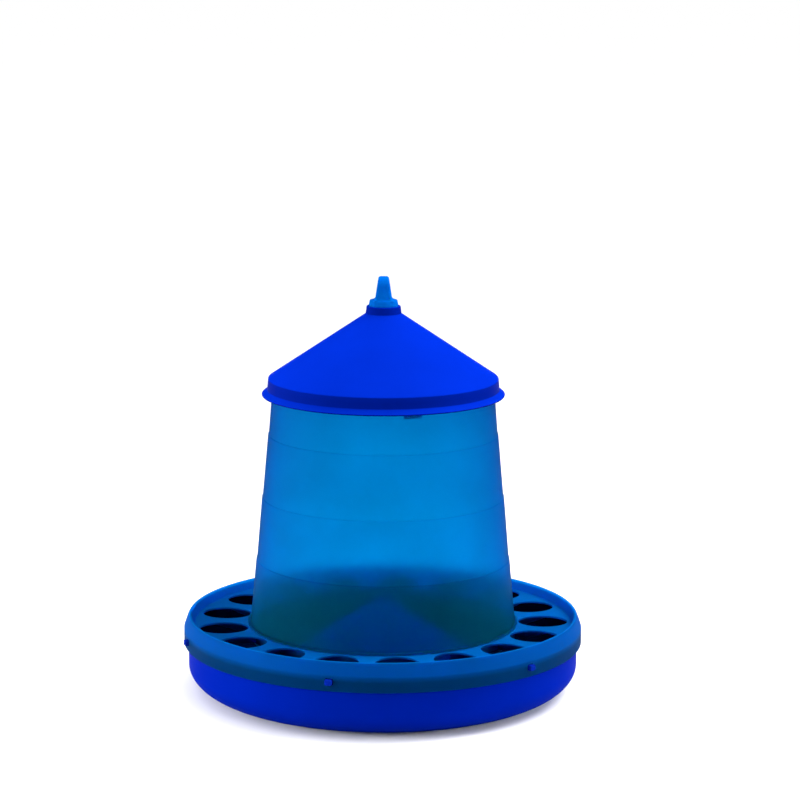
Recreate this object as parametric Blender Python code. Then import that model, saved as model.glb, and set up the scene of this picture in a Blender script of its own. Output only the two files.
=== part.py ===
"""Hanging poultry feeder, in metres, standing on z = 0 with its axis on +Z.

Five moulded pieces: a tray with a centre cone, a feed ring that snaps over the tray's pegs,
a stepped hopper that locks in the ring with a short twist, a hanging handle that hooks into
the hopper's wall, and a conical lid that slides up over the handle's loop.
"""

import math

import bmesh
import bpy
from mathutils import Vector

# Driving dimensions, in metres. A height is measured from the surface that the tray stands on.
SEGMENTS = 60  # facets around every turned piece
GAP = 0.0003  # between pieces that touch

TRAY_RADIUS = 0.1857
TRAY_WALL = 0.0024
TRAY_RIM_HEIGHT = 0.0610
TRAY_CORNER_HEIGHT = 0.0262  # the side wall is straight above this
TRAY_FLAT_RADIUS = 0.1450  # outer edge of the flat ring that the tray rests on
TRAY_CORNER_POWER = 1.95
CONE_BASE_RADIUS = 0.1270
CONE_APEX_HEIGHT = 0.0910  # where the cone's straight sides would meet
CONE_TIP_RADIUS = 0.0080
CONE_RIB_COUNT = 6
CONE_RIB_AZIMUTH = 15.6
PEG_COUNT = 6
PEG_AZIMUTH = -14.4
PEG_HEIGHT = 0.0561
PEG_WIDTH = 0.0066
PEG_THICKNESS = 0.0055
PEG_REACH = 0.1938

RING_RADIUS = 0.1900
RING_BOTTOM = 0.0473
RING_WALL = 0.0020
PLATE_TOP = 0.0647
PLATE_RADIUS = 0.1796
CREST_RADIUS = 0.1839
CREST_HEIGHT = 0.0740
CREST_ROUND = 0.0010
SKIRT_TOP = (0.1900, 0.0617)  # the skirt is straight below this and leans in above it
SHOULDER = (0.1865, 0.0716)
COLLAR_RADIUS = 0.1260
COLLAR_WALL = 0.0024
COLLAR_BOTTOM = 0.0545
OPENING_COUNT = 17
OPENING_AZIMUTH = 5.4
OPENING_RADIUS = 0.1532  # from the axis to an opening's centre
OPENING_RADIAL_HALF = 0.0234
OPENING_TANGENT_HALF = 0.0205
GUSSET_THICKNESS = 0.0016
GUSSET_FOOT_RADIUS = 0.1400
GUSSET_FOOT_HEIGHT = 0.0548
GUSSET_END_RADIUS = 0.1680

HOPPER_WALL = 0.0020
HOPPER_TOP = 0.3006
HOPPER_TOP_RADIUS = 0.1042
STEP_HEIGHTS = (0.2482, 0.1881, 0.1281)
STEP_RADII = (0.1090, 0.1150, 0.1207)  # just below each step
STEP_LEDGE = 0.0007
FOOT_RADIUS = 0.1260
FOOT_RISE = 0.0055  # the wall spreads into the flange below this, measured from the ring's plate
FOOT_FILLET = (0.0006, 0.0008)
FOOT_FLANGE_RADIUS = 0.1290
FOOT_FLANGE_THICKNESS = 0.0020
SPIGOT_CLEARANCE = 0.0004
SPIGOT_BOTTOM = 0.0500

LUG_COUNT = 3
LUG_AZIMUTH = 10.0  # locked; the notches lie one twist further on
LUG_HALF_ANGLE = 4.0
LUG_THICKNESS = 0.0032
LUG_REACH = 0.1286
TWIST = 15.0  # degrees from locked to free

LID_WALL = 0.0020
LID_COLLAR_TOP = 0.3697
LID_BORE_RADIUS = 0.0144
LID_COLLAR_RADIUS = 0.0160
LID_CONE_TOP = (0.0170, 0.3625)
LID_CONE_EDGE = (0.10880, 0.3012)
LID_SKIRT_END = (0.10973, 0.2904)
LID_LIP_END = (0.1150, 0.2851)
LID_LIP_EDGE = 0.0011
LID_LIP_CHAMFER = 0.0006

HANDLE_AZIMUTH = 15.8
POST_RADIUS = 0.0141
POST_TOP_RADIUS = 0.0130
POST_SHOULDER = 0.3707
POST_TOP = 0.3753
POST_BOTTOM = 0.3460
POST_WALL = 0.0025
LOOP_TOP = 0.3977
LOOP_HALF_DEPTH = 0.0098  # front to back
LOOP_HALF_WIDTH = 0.0081  # side to side at its foot, without the fillet
LOOP_TOP_HALF_WIDTH = 0.0047
LOOP_FILLET = 0.0008
LOOP_CORNER = 0.0024
LOOP_BEVEL = 0.0020
LOOP_HOLE_RADIUS = 0.0057
ARM_WIDTH = 0.0120
ARM_DEPTH = 0.0060
ARM_CLEARANCE = 0.0040  # below the lid
PAD_WIDTH = 0.0170
PAD_BOTTOM = 0.2800
PAD_TOP_RADIUS = 0.1011
PAD_BOTTOM_RADIUS = 0.1025
PAD_THICKNESS = 0.0026
HOOK_SPREAD = 3.05  # degrees each side of the handle's plane
HOOK_BOTTOM = 0.2836
HOOK_TOP = 0.2874
HOOK_WIDTH = 0.0040
WINDOW_ROOM = 0.0005  # around a hook
WINDOW_RADII = (0.0980, 0.1120)
HOOK_REACH = 0.1069

# Colour, roughness and opacity of each material.
MATERIALS = {
    "tray_plastic": ((0.0, 0.016, 0.36), 0.38, 1.0),
    "ring_plastic": ((0.0, 0.05, 0.32), 0.35, 0.92),
    "hopper_plastic": ((0.001, 0.17, 0.60), 0.38, 0.80),
    "handle_plastic": ((0.0, 0.11, 0.53), 0.38, 0.95),
    "lid_plastic": ((0.0, 0.034, 0.72), 0.36, 1.0),
}


def clear_scene():
    for thing in list(bpy.data.objects):
        bpy.data.objects.remove(thing, do_unlink=True)


def material(name):
    colour, roughness, alpha = MATERIALS[name]
    made = bpy.data.materials.new(name)
    made.use_nodes = True
    shader = made.node_tree.nodes["Principled BSDF"]
    shader.inputs["Base Color"].default_value = (*colour, 1.0)
    shader.inputs["Roughness"].default_value = roughness
    shader.inputs["Metallic"].default_value = 0.0
    shader.inputs["Alpha"].default_value = alpha
    return made


def turn(azimuth):
    """Outward and sideways directions. Azimuth 0 is the feeder's front, -Y, and it grows towards +X."""
    angle = math.radians(azimuth)
    outward = Vector((math.sin(angle), -math.cos(angle), 0.0))
    sideways = Vector((math.cos(angle), math.sin(angle), 0.0))
    return outward, sideways


def make_object(name, bm, material_name=None):
    """The bmesh as an object, shaded smooth except at its corners."""
    bmesh.ops.recalc_face_normals(bm, faces=bm.faces)
    mesh = bpy.data.meshes.new(name)
    bm.to_mesh(mesh)
    bm.free()
    mesh.shade_smooth()
    mesh.set_sharp_from_angle(angle=math.radians(35.0))
    if material_name:
        mesh.materials.append(material(material_name))
    made = bpy.data.objects.new(name, mesh)
    bpy.context.scene.collection.objects.link(made)
    return made


def turned(name, outline, material_name, closed=True):
    """An outline of (radius, height) points spun about Z. An open one starts and ends on the axis."""
    bm = bmesh.new()
    points = [bm.verts.new((radius, 0.0, height)) for radius, height in outline]
    pairs = list(zip(points, points[1:]))
    if closed:
        pairs.append((points[-1], points[0]))
    edges = [bm.edges.new(pair) for pair in pairs]
    bmesh.ops.spin(
        bm,
        geom=points + edges,
        cent=(0.0, 0.0, 0.0),
        axis=(0.0, 0.0, 1.0),
        angle=math.tau,
        steps=SEGMENTS,
        use_merge=True,
    )
    bmesh.ops.remove_doubles(bm, verts=bm.verts, dist=1e-6)
    return make_object(name, bm, material_name)


def add_prism(bm, lower, upper):
    """A closed body between two outlines with the same number of points."""
    low = [bm.verts.new(point) for point in lower]
    high = [bm.verts.new(point) for point in upper]
    bm.faces.new(low[::-1])
    bm.faces.new(high)
    for i, corner in enumerate(low):
        j = (i + 1) % len(low)
        bm.faces.new((corner, low[j], high[j], high[i]))


def add_radial_plate(bm, azimuth, outline, thickness):
    """An outline of (radius, height) points in the plane of the azimuth, thickened to both sides of it."""
    outward, sideways = turn(azimuth)
    middle = [outward * radius + Vector((0.0, 0.0, height)) for radius, height in outline]
    half = sideways * thickness / 2
    add_prism(bm, [point - half for point in middle], [point + half for point in middle])


def add_radial_box(bm, azimuth, radii, heights, width):
    (inner, outer), (low, high) = radii, heights
    add_radial_plate(bm, azimuth, [(inner, low), (outer, low), (outer, high), (inner, high)], width)


def add_sector(bm, azimuth, half_angle, radii, heights, steps=4):
    """A curved block between two radii, centred on the azimuth."""
    inner, outer = radii
    angles = [azimuth + half_angle * (2 * i / steps - 1) for i in range(steps + 1)]
    ring = [turn(angle)[0] * outer for angle in angles]
    ring += [turn(angle)[0] * inner for angle in reversed(angles)]
    add_prism(bm, *[[point + Vector((0.0, 0.0, z)) for point in ring] for z in heights])


def add_oval(bm, azimuth, heights, sides=16):
    """An upright oval prism where a feed opening goes."""
    outward, sideways = turn(azimuth)
    ring = []
    for i in range(sides):
        angle = math.tau * i / sides
        along = outward * (OPENING_RADIUS + OPENING_RADIAL_HALF * math.cos(angle))
        ring.append(along + sideways * OPENING_TANGENT_HALF * math.sin(angle))
    add_prism(bm, *[[point + Vector((0.0, 0.0, z)) for point in ring] for z in heights])


def combine(target, tool, operation):
    """Cuts the tool from the target, or joins it on."""
    tool.hide_render = True
    tool.display_type = "WIRE"
    step = target.modifiers.new(tool.name, "BOOLEAN")
    step.operation = operation
    step.solver = "EXACT"
    step.object = tool


def around(first, count):
    """Evenly spaced azimuths."""
    return [first + 360.0 * i / count for i in range(count)]


def superellipse(centre, width, depth, steps=7):
    """The lower outer quarter of a superellipse, from its flat bottom up to its straight side."""
    points = []
    for i in range(steps + 1):
        angle = math.pi / 2 * (1 - i / steps)
        radius = centre[0] + width * max(math.cos(angle), 0.0) ** (2 / TRAY_CORNER_POWER)
        height = centre[1] - depth * math.sin(angle) ** (2 / TRAY_CORNER_POWER)
        points.append((radius, height))
    return points


def cone_tip(apex, tip_radius, slope, steps=2):
    """The rounded tip of a cone whose straight sides meet at the apex height, from the side to the axis."""
    centre = apex - tip_radius / math.cos(slope)
    angles = [slope * (1 - i / steps) for i in range(steps + 1)]
    return [(tip_radius * math.sin(a), centre + tip_radius * math.cos(a)) for a in angles]


def build_tray():
    slope = math.atan2(CONE_APEX_HEIGHT - TRAY_WALL, CONE_BASE_RADIUS)
    corner = (TRAY_FLAT_RADIUS, TRAY_CORNER_HEIGHT)
    width = TRAY_RADIUS - TRAY_FLAT_RADIUS
    chamfer = 0.0006
    top = TRAY_RIM_HEIGHT
    outer = superellipse(corner, width, TRAY_CORNER_HEIGHT)
    inner = superellipse(corner, width - TRAY_WALL, TRAY_CORNER_HEIGHT - TRAY_WALL)
    rim = [
        (TRAY_RADIUS, top - chamfer),
        (TRAY_RADIUS - chamfer, top),
        (TRAY_RADIUS - TRAY_WALL + chamfer, top),
        (TRAY_RADIUS - TRAY_WALL, top - chamfer),
    ]
    under_apex = CONE_APEX_HEIGHT - TRAY_WALL / math.cos(slope)
    hollow_edge = under_apex / math.tan(slope)
    outline = cone_tip(under_apex, CONE_TIP_RADIUS - TRAY_WALL, slope)[::-1]
    outline.append((hollow_edge, 0.0))
    outline += outer + rim + inner[::-1]
    outline.append((CONE_BASE_RADIUS, TRAY_WALL))
    outline += cone_tip(CONE_APEX_HEIGHT, CONE_TIP_RADIUS, slope)
    tray = turned("feed_tray", outline, "tray_plastic", closed=False)

    # Low ribs down the cone, and the pegs that carry the feed ring.
    rib_rise = 0.0016
    rib_sink = 0.0012
    rib_ends = (0.0150, 0.1240)
    rib_width = 0.0030
    extras = bmesh.new()
    for azimuth in around(CONE_RIB_AZIMUTH, CONE_RIB_COUNT):
        heights = [CONE_APEX_HEIGHT - radius * math.tan(slope) for radius in rib_ends]
        edge = [(radius, z + rib_rise) for radius, z in zip(rib_ends, heights)]
        edge += [(radius, z - rib_sink) for radius, z in zip(rib_ends[::-1], heights[::-1])]
        add_radial_plate(extras, azimuth, edge, rib_width)
    peg_heights = (PEG_HEIGHT - PEG_THICKNESS / 2, PEG_HEIGHT + PEG_THICKNESS / 2)
    for azimuth in around(PEG_AZIMUTH, PEG_COUNT):
        add_radial_box(extras, azimuth, (TRAY_RADIUS - TRAY_WALL / 2, PEG_REACH), peg_heights, PEG_WIDTH)
    combine(tray, make_object("tray_ribs_and_pegs", extras), "UNION")


def ring_outline():
    """Collar, perforated plate, raised rim and hanging skirt, anticlockwise from the collar's foot."""
    wall = RING_WALL
    plate_bottom = PLATE_TOP - wall
    return [
        (COLLAR_RADIUS, COLLAR_BOTTOM),
        (COLLAR_RADIUS + COLLAR_WALL, COLLAR_BOTTOM),
        (COLLAR_RADIUS + COLLAR_WALL, plate_bottom),
        (PLATE_RADIUS + wall / 2, plate_bottom),
        (CREST_RADIUS, CREST_HEIGHT - wall * 1.2),
        (SHOULDER[0] - wall * 0.8, SHOULDER[1] - wall * 0.6),
        (SKIRT_TOP[0] - wall, SKIRT_TOP[1] - wall * 0.2),
        (RING_RADIUS - wall, RING_BOTTOM),
        (RING_RADIUS, RING_BOTTOM),
        SKIRT_TOP,
        SHOULDER,
        (CREST_RADIUS + CREST_ROUND, CREST_HEIGHT - CREST_ROUND * 0.3),
        (CREST_RADIUS, CREST_HEIGHT),
        (CREST_RADIUS - CREST_ROUND * 0.9, CREST_HEIGHT - CREST_ROUND * 0.6),
        (PLATE_RADIUS, PLATE_TOP),
        (COLLAR_RADIUS, PLATE_TOP),
    ]


def build_ring():
    ring = turned("feed_ring", ring_outline(), "ring_plastic")

    cuts = bmesh.new()
    past = 0.0030  # how far a cutter runs past the wall it cuts
    for azimuth in around(OPENING_AZIMUTH, OPENING_COUNT):
        add_oval(cuts, azimuth, (PLATE_TOP - RING_WALL - past, PLATE_TOP + past))
    peg_room = 0.0005
    hole = PEG_THICKNESS / 2 + peg_room
    skirt_radii = (RING_RADIUS - RING_WALL - past, RING_RADIUS + past)
    for azimuth in around(PEG_AZIMUTH, PEG_COUNT):
        heights = (PEG_HEIGHT - hole, PEG_HEIGHT + hole)
        add_radial_box(cuts, azimuth, skirt_radii, heights, PEG_WIDTH + 2 * peg_room)
    notch_radii = (COLLAR_RADIUS - past, LUG_REACH + GAP)
    notch_heights = (COLLAR_BOTTOM - past, PLATE_TOP + past)
    notch_room = 0.5
    for azimuth in around(LUG_AZIMUTH + TWIST, LUG_COUNT):
        add_sector(cuts, azimuth, LUG_HALF_ANGLE + notch_room, notch_radii, notch_heights)
    combine(ring, make_object("ring_cuts", cuts), "DIFFERENCE")

    # A gusset between each pair of openings, and a stop at both ends of each lug's travel.
    inside_plate = PLATE_TOP - RING_WALL / 2
    gusset = [
        (COLLAR_RADIUS + COLLAR_WALL / 2, inside_plate),
        (COLLAR_RADIUS + COLLAR_WALL / 2, GUSSET_FOOT_HEIGHT),
        (GUSSET_FOOT_RADIUS, GUSSET_FOOT_HEIGHT),
        (GUSSET_END_RADIUS, PLATE_TOP - RING_WALL),
        (GUSSET_END_RADIUS, inside_plate),
    ]
    extras = bmesh.new()
    for azimuth in around(OPENING_AZIMUTH + 180.0 / OPENING_COUNT, OPENING_COUNT):
        add_radial_plate(extras, azimuth, gusset, GUSSET_THICKNESS)
    stop_half = 1.0
    stop_room = 0.6
    stop_inset = 0.0004
    stop_radii = (COLLAR_RADIUS + stop_inset, COLLAR_RADIUS + COLLAR_WALL - stop_inset)
    stop_heights = (COLLAR_BOTTOM - LUG_THICKNESS, COLLAR_BOTTOM + RING_WALL)
    past_lug = LUG_HALF_ANGLE + stop_half + stop_room
    for first in (LUG_AZIMUTH - past_lug, LUG_AZIMUTH + TWIST + past_lug):
        for azimuth in around(first, LUG_COUNT):
            add_sector(extras, azimuth, stop_half, stop_radii, stop_heights, steps=1)
    combine(ring, make_object("ring_gussets_and_stops", extras), "UNION")


def hopper_wall():
    """The outer side from the top rim down to the flange, as (radius, height) points."""
    points = [(HOPPER_TOP_RADIUS, HOPPER_TOP)]
    for height, radius in zip(STEP_HEIGHTS, STEP_RADII):
        points.append((radius - STEP_LEDGE, height))
        points.append((radius, height - STEP_LEDGE))
    points.append((FOOT_RADIUS, PLATE_TOP + FOOT_RISE))
    return points


def build_hopper():
    seat = PLATE_TOP + GAP
    flange_top = seat + FOOT_FLANGE_THICKNESS
    spigot = COLLAR_RADIUS - SPIGOT_CLEARANCE
    outer = hopper_wall()
    inner = [(radius - HOPPER_WALL, height) for radius, height in outer[::-1]]
    outline = outer + [
        (FOOT_RADIUS + FOOT_FILLET[0], flange_top + FOOT_FILLET[1]),
        (FOOT_FLANGE_RADIUS, flange_top),
        (FOOT_FLANGE_RADIUS, seat),
        (spigot, seat),
        (spigot, SPIGOT_BOTTOM),
        (spigot - HOPPER_WALL, SPIGOT_BOTTOM),
        (spigot - HOPPER_WALL, seat),
    ]
    hopper = turned("hopper", outline + inner, "hopper_plastic")

    # Lugs under the ring's collar, and the windows that the handle's hooks pass through.
    lugs = bmesh.new()
    lug_top = COLLAR_BOTTOM - GAP
    for azimuth in around(LUG_AZIMUTH, LUG_COUNT):
        radii = (spigot - HOPPER_WALL / 2, LUG_REACH)
        add_sector(lugs, azimuth, LUG_HALF_ANGLE, radii, (lug_top - LUG_THICKNESS, lug_top))
    combine(hopper, make_object("hopper_lugs", lugs), "UNION")
    windows = bmesh.new()
    heights = (HOOK_BOTTOM - WINDOW_ROOM, HOOK_TOP + WINDOW_ROOM)
    for azimuth in hook_azimuths():
        add_radial_box(windows, azimuth, WINDOW_RADII, heights, HOOK_WIDTH + 2 * WINDOW_ROOM)
    combine(hopper, make_object("hopper_windows", windows), "DIFFERENCE")
    return hopper


def lid_under(radius):
    """Height of the underside of the lid's cone."""
    fall = (LID_CONE_TOP[1] - LID_CONE_EDGE[1]) / (LID_CONE_EDGE[0] - LID_CONE_TOP[0])
    drop = LID_WALL * math.hypot(1.0, fall)
    return LID_CONE_TOP[1] - fall * (radius - LID_CONE_TOP[0]) - drop


def build_lid():
    wall = LID_WALL
    skirt_inside = LID_CONE_EDGE[0] - wall
    outline = [
        (LID_BORE_RADIUS, LID_COLLAR_TOP),
        (LID_COLLAR_RADIUS, LID_COLLAR_TOP),
        LID_CONE_TOP,
        LID_CONE_EDGE,
        LID_SKIRT_END,
        (LID_LIP_END[0], LID_LIP_END[1] + LID_LIP_EDGE),
        (LID_LIP_END[0] - LID_LIP_CHAMFER, LID_LIP_END[1]),
        (LID_LIP_END[0] - wall, LID_LIP_END[1]),
        (LID_SKIRT_END[0] - wall, LID_SKIRT_END[1] - wall / 5),
        (skirt_inside, lid_under(skirt_inside)),
        (LID_BORE_RADIUS, lid_under(LID_BORE_RADIUS)),
    ]
    return turned("lid", outline, "lid_plastic")


def hook_azimuths():
    """Two hooks at each end of the handle."""
    ends = (HANDLE_AZIMUTH, HANDLE_AZIMUTH + 180.0)
    return [end + side * HOOK_SPREAD for end in ends for side in (-1, 1)]


def handle_post():
    """A cup, open below, with the loop's foot on its closed top."""
    bore = POST_RADIUS - POST_WALL
    roof = POST_TOP - POST_WALL
    return turned(
        "hanging_handle",
        [
            (0.0, POST_TOP),
            (POST_TOP_RADIUS, POST_TOP),
            (POST_RADIUS, POST_SHOULDER),
            (POST_RADIUS, POST_BOTTOM),
            (bore, POST_BOTTOM),
            (bore, roof),
            (0.0, roof),
        ],
        "handle_plastic",
        closed=False,
    )


def loop_section(height):
    """Half width and half depth of the loop at a height: a tapered strap with an arched, rounded top."""
    rise = (height - POST_TOP) / (LOOP_TOP - POST_TOP)
    width = LOOP_HALF_WIDTH + rise * (LOOP_TOP_HALF_WIDTH - LOOP_HALF_WIDTH)
    into_corner = max(height - LOOP_TOP + LOOP_CORNER, 0.0) / LOOP_CORNER
    width -= LOOP_CORNER * (1.0 - math.sqrt(1.0 - into_corner**2))
    above_centre = max(height - LOOP_TOP + LOOP_HALF_DEPTH, 0.0)
    return width, math.sqrt(LOOP_HALF_DEPTH**2 - above_centre**2)


def add_loop(bm, steps=6):
    """The strap on the post, whose hole runs from side to side."""
    levels = [
        (POST_TOP - POST_WALL / 2, LOOP_FILLET),
        (POST_TOP + GAP, LOOP_FILLET),
        (POST_TOP + LOOP_FILLET * 2, 0.0),
    ]
    arch = LOOP_TOP - LOOP_HALF_DEPTH
    top_angle = math.radians(86.0)
    levels += [(arch + LOOP_HALF_DEPTH * math.sin(top_angle * i / steps), 0.0) for i in range(steps + 1)]
    outward, sideways = turn(0.0)
    layers = []
    for height, flare in levels:
        width, depth = (half + flare for half in loop_section(height))
        bevel = min(LOOP_BEVEL, width / 2, depth / 2)
        corners = []
        for u, v in ((1, -1), (1, 1), (-1, 1), (-1, -1)):
            pair = [(u * width, v * (depth - bevel)), (u * (width - bevel), v * depth)]
            corners += pair if u * v > 0 else pair[::-1]
        up = Vector((0.0, 0.0, height))
        layers.append([bm.verts.new(up + sideways * x + outward * y) for x, y in corners])
    bm.faces.new(layers[0][::-1])
    bm.faces.new(layers[-1])
    for low, high in zip(layers, layers[1:]):
        for i, corner in enumerate(low):
            j = (i + 1) % len(low)
            bm.faces.new((corner, low[j], high[j], high[i]))


def add_eye(bm, sides=20):
    """The cutter for the loop's hole."""
    outward, sideways = turn(0.0)
    centre = Vector((0.0, 0.0, LOOP_TOP - LOOP_HALF_DEPTH))
    ring = []
    for i in range(sides):
        angle = math.tau * i / sides
        spoke = outward * math.cos(angle) + Vector((0.0, 0.0, math.sin(angle)))
        ring.append(centre + spoke * LOOP_HOLE_RADIUS)
    reach = sideways * (LOOP_HALF_WIDTH + 0.0020)
    add_prism(bm, [point - reach for point in ring], [point + reach for point in ring])


def build_handle():
    handle = handle_post()
    loop = bmesh.new()
    add_loop(loop)
    combine(handle, make_object("handle_loop", loop), "UNION")
    eye = bmesh.new()
    add_eye(eye)
    combine(handle, make_object("handle_eye", eye), "DIFFERENCE")

    # Arms under the lid's cone, each ending in a pad with two hooks.
    start = POST_RADIUS - POST_WALL / 2
    finish = PAD_TOP_RADIUS - PAD_THICKNESS / 2
    arm = [
        (start, lid_under(start) - ARM_CLEARANCE),
        (finish, lid_under(finish) - ARM_CLEARANCE),
        (finish, lid_under(finish) - ARM_CLEARANCE - ARM_DEPTH),
        (start, lid_under(start) - ARM_CLEARANCE - ARM_DEPTH),
    ]
    pad_top = lid_under(PAD_TOP_RADIUS) - ARM_CLEARANCE
    pad = [
        (PAD_TOP_RADIUS, pad_top),
        (PAD_BOTTOM_RADIUS, PAD_BOTTOM),
        (PAD_BOTTOM_RADIUS - PAD_THICKNESS, PAD_BOTTOM),
        (PAD_TOP_RADIUS - PAD_THICKNESS, pad_top),
    ]
    arms = bmesh.new()
    pads = bmesh.new()
    hooks = bmesh.new()
    for azimuth in (HANDLE_AZIMUTH, HANDLE_AZIMUTH + 180.0):
        add_radial_plate(arms, azimuth, arm, ARM_WIDTH)
        add_radial_plate(pads, azimuth, pad, PAD_WIDTH)
    for azimuth in hook_azimuths():
        radii = (PAD_TOP_RADIUS - PAD_THICKNESS / 4, HOOK_REACH)
        add_radial_box(hooks, azimuth, radii, (HOOK_BOTTOM, HOOK_TOP), HOOK_WIDTH)
    for name, bm in (("handle_arms", arms), ("handle_pads", pads), ("handle_hooks", hooks)):
        combine(handle, make_object(name, bm), "UNION")
    return handle


clear_scene()
build_tray()
build_ring()
hopper = build_hopper()
handle = build_handle()
lid = build_lid()

# The hopper twists about Z on the ring and carries the handle; the lid slides up the same axis.
twist_axis = bpy.data.objects.new("hopper_twist_axis", None)
bpy.context.scene.collection.objects.link(twist_axis)
for piece in (hopper, handle, lid):
    piece.parent = twist_axis
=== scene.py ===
"""The looks of the hanging poultry feeder: five fine moulded-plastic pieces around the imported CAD."""

import math

import bmesh
import bpy
from mathutils import Matrix, Vector


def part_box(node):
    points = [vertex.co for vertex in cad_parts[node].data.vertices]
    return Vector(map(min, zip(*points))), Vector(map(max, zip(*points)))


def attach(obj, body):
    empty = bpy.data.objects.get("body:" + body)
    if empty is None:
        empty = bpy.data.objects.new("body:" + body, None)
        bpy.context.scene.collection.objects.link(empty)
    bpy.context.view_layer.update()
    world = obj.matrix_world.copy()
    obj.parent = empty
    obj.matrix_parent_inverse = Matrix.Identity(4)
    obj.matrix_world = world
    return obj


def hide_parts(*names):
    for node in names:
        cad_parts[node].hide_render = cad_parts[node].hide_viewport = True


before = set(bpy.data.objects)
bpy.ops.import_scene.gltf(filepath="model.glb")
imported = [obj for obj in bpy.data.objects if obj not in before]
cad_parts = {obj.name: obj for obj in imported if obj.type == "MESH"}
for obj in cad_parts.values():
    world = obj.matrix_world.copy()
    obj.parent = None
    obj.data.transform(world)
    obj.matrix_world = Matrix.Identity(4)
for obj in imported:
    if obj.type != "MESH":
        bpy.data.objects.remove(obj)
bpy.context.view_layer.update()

# Sizes in metres and angles in degrees. The outer ones are read from the CAD's boxes.
RING_LOW, RING_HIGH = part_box("feed_ring")
HOPPER_LOW, HOPPER_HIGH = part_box("hopper")
LID_LOW, LID_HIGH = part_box("lid")
HANDLE_LOW, HANDLE_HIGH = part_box("hanging_handle")

COLUMNS = 204  # steps around a turned piece, a multiple of the feed openings
POST_COLUMNS = 96
ARC_STEP = math.radians(12.0)
LONGEST_RUN = 0.0080
SHARP_EDGE = math.radians(30.0)

# Feed ring. Its collar takes the hopper, and its skirt hangs over the tray.
RING_RADIUS = RING_HIGH.x
RING_BOTTOM = RING_LOW.z
RING_WALL = 0.0020
CREST = RING_HIGH.z
CREST_RADIUS = RING_RADIUS - 0.0061
CREST_HALF_WIDTH = 0.0012
PLATE_TOP = CREST - 0.0093
PLATE_RADIUS = RING_RADIUS - 0.0104
PLATE_EDGE_RADIUS = PLATE_RADIUS - 0.0016
SKIRT_TOP = (RING_RADIUS, RING_BOTTOM + 0.0144)
SHOULDER = (RING_RADIUS - 0.0035, RING_BOTTOM + 0.0243)
COLLAR_RADIUS = 0.1260
COLLAR_WALL = 0.0024
COLLAR_BOTTOM = PLATE_TOP - 0.0102
GUSSET_WIDTH = 0.0016
GUSSET_FOOT_RADIUS = 0.1400
GUSSET_END_RADIUS = 0.1680
OPENING_COUNT = 17
OPENING_AZIMUTH = 5.4
OPENING_RADIUS = 0.1532
OPENING_RADIAL_HALF = 0.0234
OPENING_TANGENT_HALF = 0.0205
OPENING_TOP_ROUND = 0.0007
OPENING_LOW_ROUND = 0.0003

# Feed tray, with a cone in its middle and pegs through the ring's skirt.
TRAY_RADIUS = 0.1857
TRAY_WALL = 0.0024
TRAY_RIM = 0.0610
TRAY_CORNER_HEIGHT = 0.0262
TRAY_FLAT_RADIUS = 0.1450
TRAY_CORNER_POWER = 1.95  # 2 is an ellipse
CONE_BASE_RADIUS = 0.1270
CONE_APEX = 0.0910  # where its sides would meet, without the rounded tip
CONE_TIP_RADIUS = 0.0080
CONE_FOOT_FILLET = 0.0100
RIM_FILLET = 0.0009
CONE_RIB_COUNT = 6
CONE_RIB_AZIMUTH = 15.6
CONE_RIB_ENDS = (0.0150, 0.1240)
CONE_RIB_RISE = 0.0016
CONE_RIB_ROOT = 0.0012
CONE_RIB_WIDTH = 0.0030
PEG_COUNT = 6
PEG_AZIMUTH = -14.4
PEG_HEIGHT = 0.0561
PEG_WIDTH = 0.0066
PEG_THICKNESS = 0.0055
PEG_REACH = 0.1938
PEG_ROOM = 0.0005

# Hopper, from its top down to the foot, the flange and the lugs that lock under the collar.
HOPPER_TOP = HOPPER_HIGH.z
HOPPER_BOTTOM = HOPPER_LOW.z
HOPPER_WALL = 0.0020
HOPPER_TOP_RADIUS = 0.1042
STEP_HEIGHTS = (0.2482, 0.1881, 0.1281)
STEP_RADII = (0.1090, 0.1150, 0.1207)
STEP_LEDGE = 0.0007
FOOT_RADIUS = 0.1260
FOOT_TOP = PLATE_TOP + 0.0055
FLANGE_RADIUS = HOPPER_HIGH.x
FLANGE_BOTTOM = PLATE_TOP + 0.0003
FLANGE_TOP = FLANGE_BOTTOM + 0.0020
SPIGOT_RADIUS = COLLAR_RADIUS - 0.0004
LUG_COUNT = 3
LUG_AZIMUTH = 10.0
LUG_HALF_ANGLE = 4.0
LUG_TOP = COLLAR_BOTTOM - 0.0003
LUG_HEIGHT = 0.0032
LUG_REACH = COLLAR_RADIUS + 0.0026
NOTCH_HALF_ANGLE = 4.5
STOP_OFFSET = 5.6
STOP_HALF_ANGLE = 1.0
TWIST = 15.0

# Lid. Its cone and skirt are (radius, height) corners.
LID_WALL = 0.0020
LID_TOP = LID_HIGH.z
LID_LIP = LID_LOW.z
LID_LIP_RADIUS = LID_HIGH.x
LIP_RISE = 0.0011
LIP_BEVEL = 0.0006
LIP_WIDTH = 0.0018
BORE_RADIUS = 0.0144
LID_COLLAR_RADIUS = 0.0160
CONE_TOP = (0.0170, 0.3625)
CONE_EDGE = (0.10880, 0.3012)
SKIRT_END = (0.10973, 0.2904)

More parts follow.
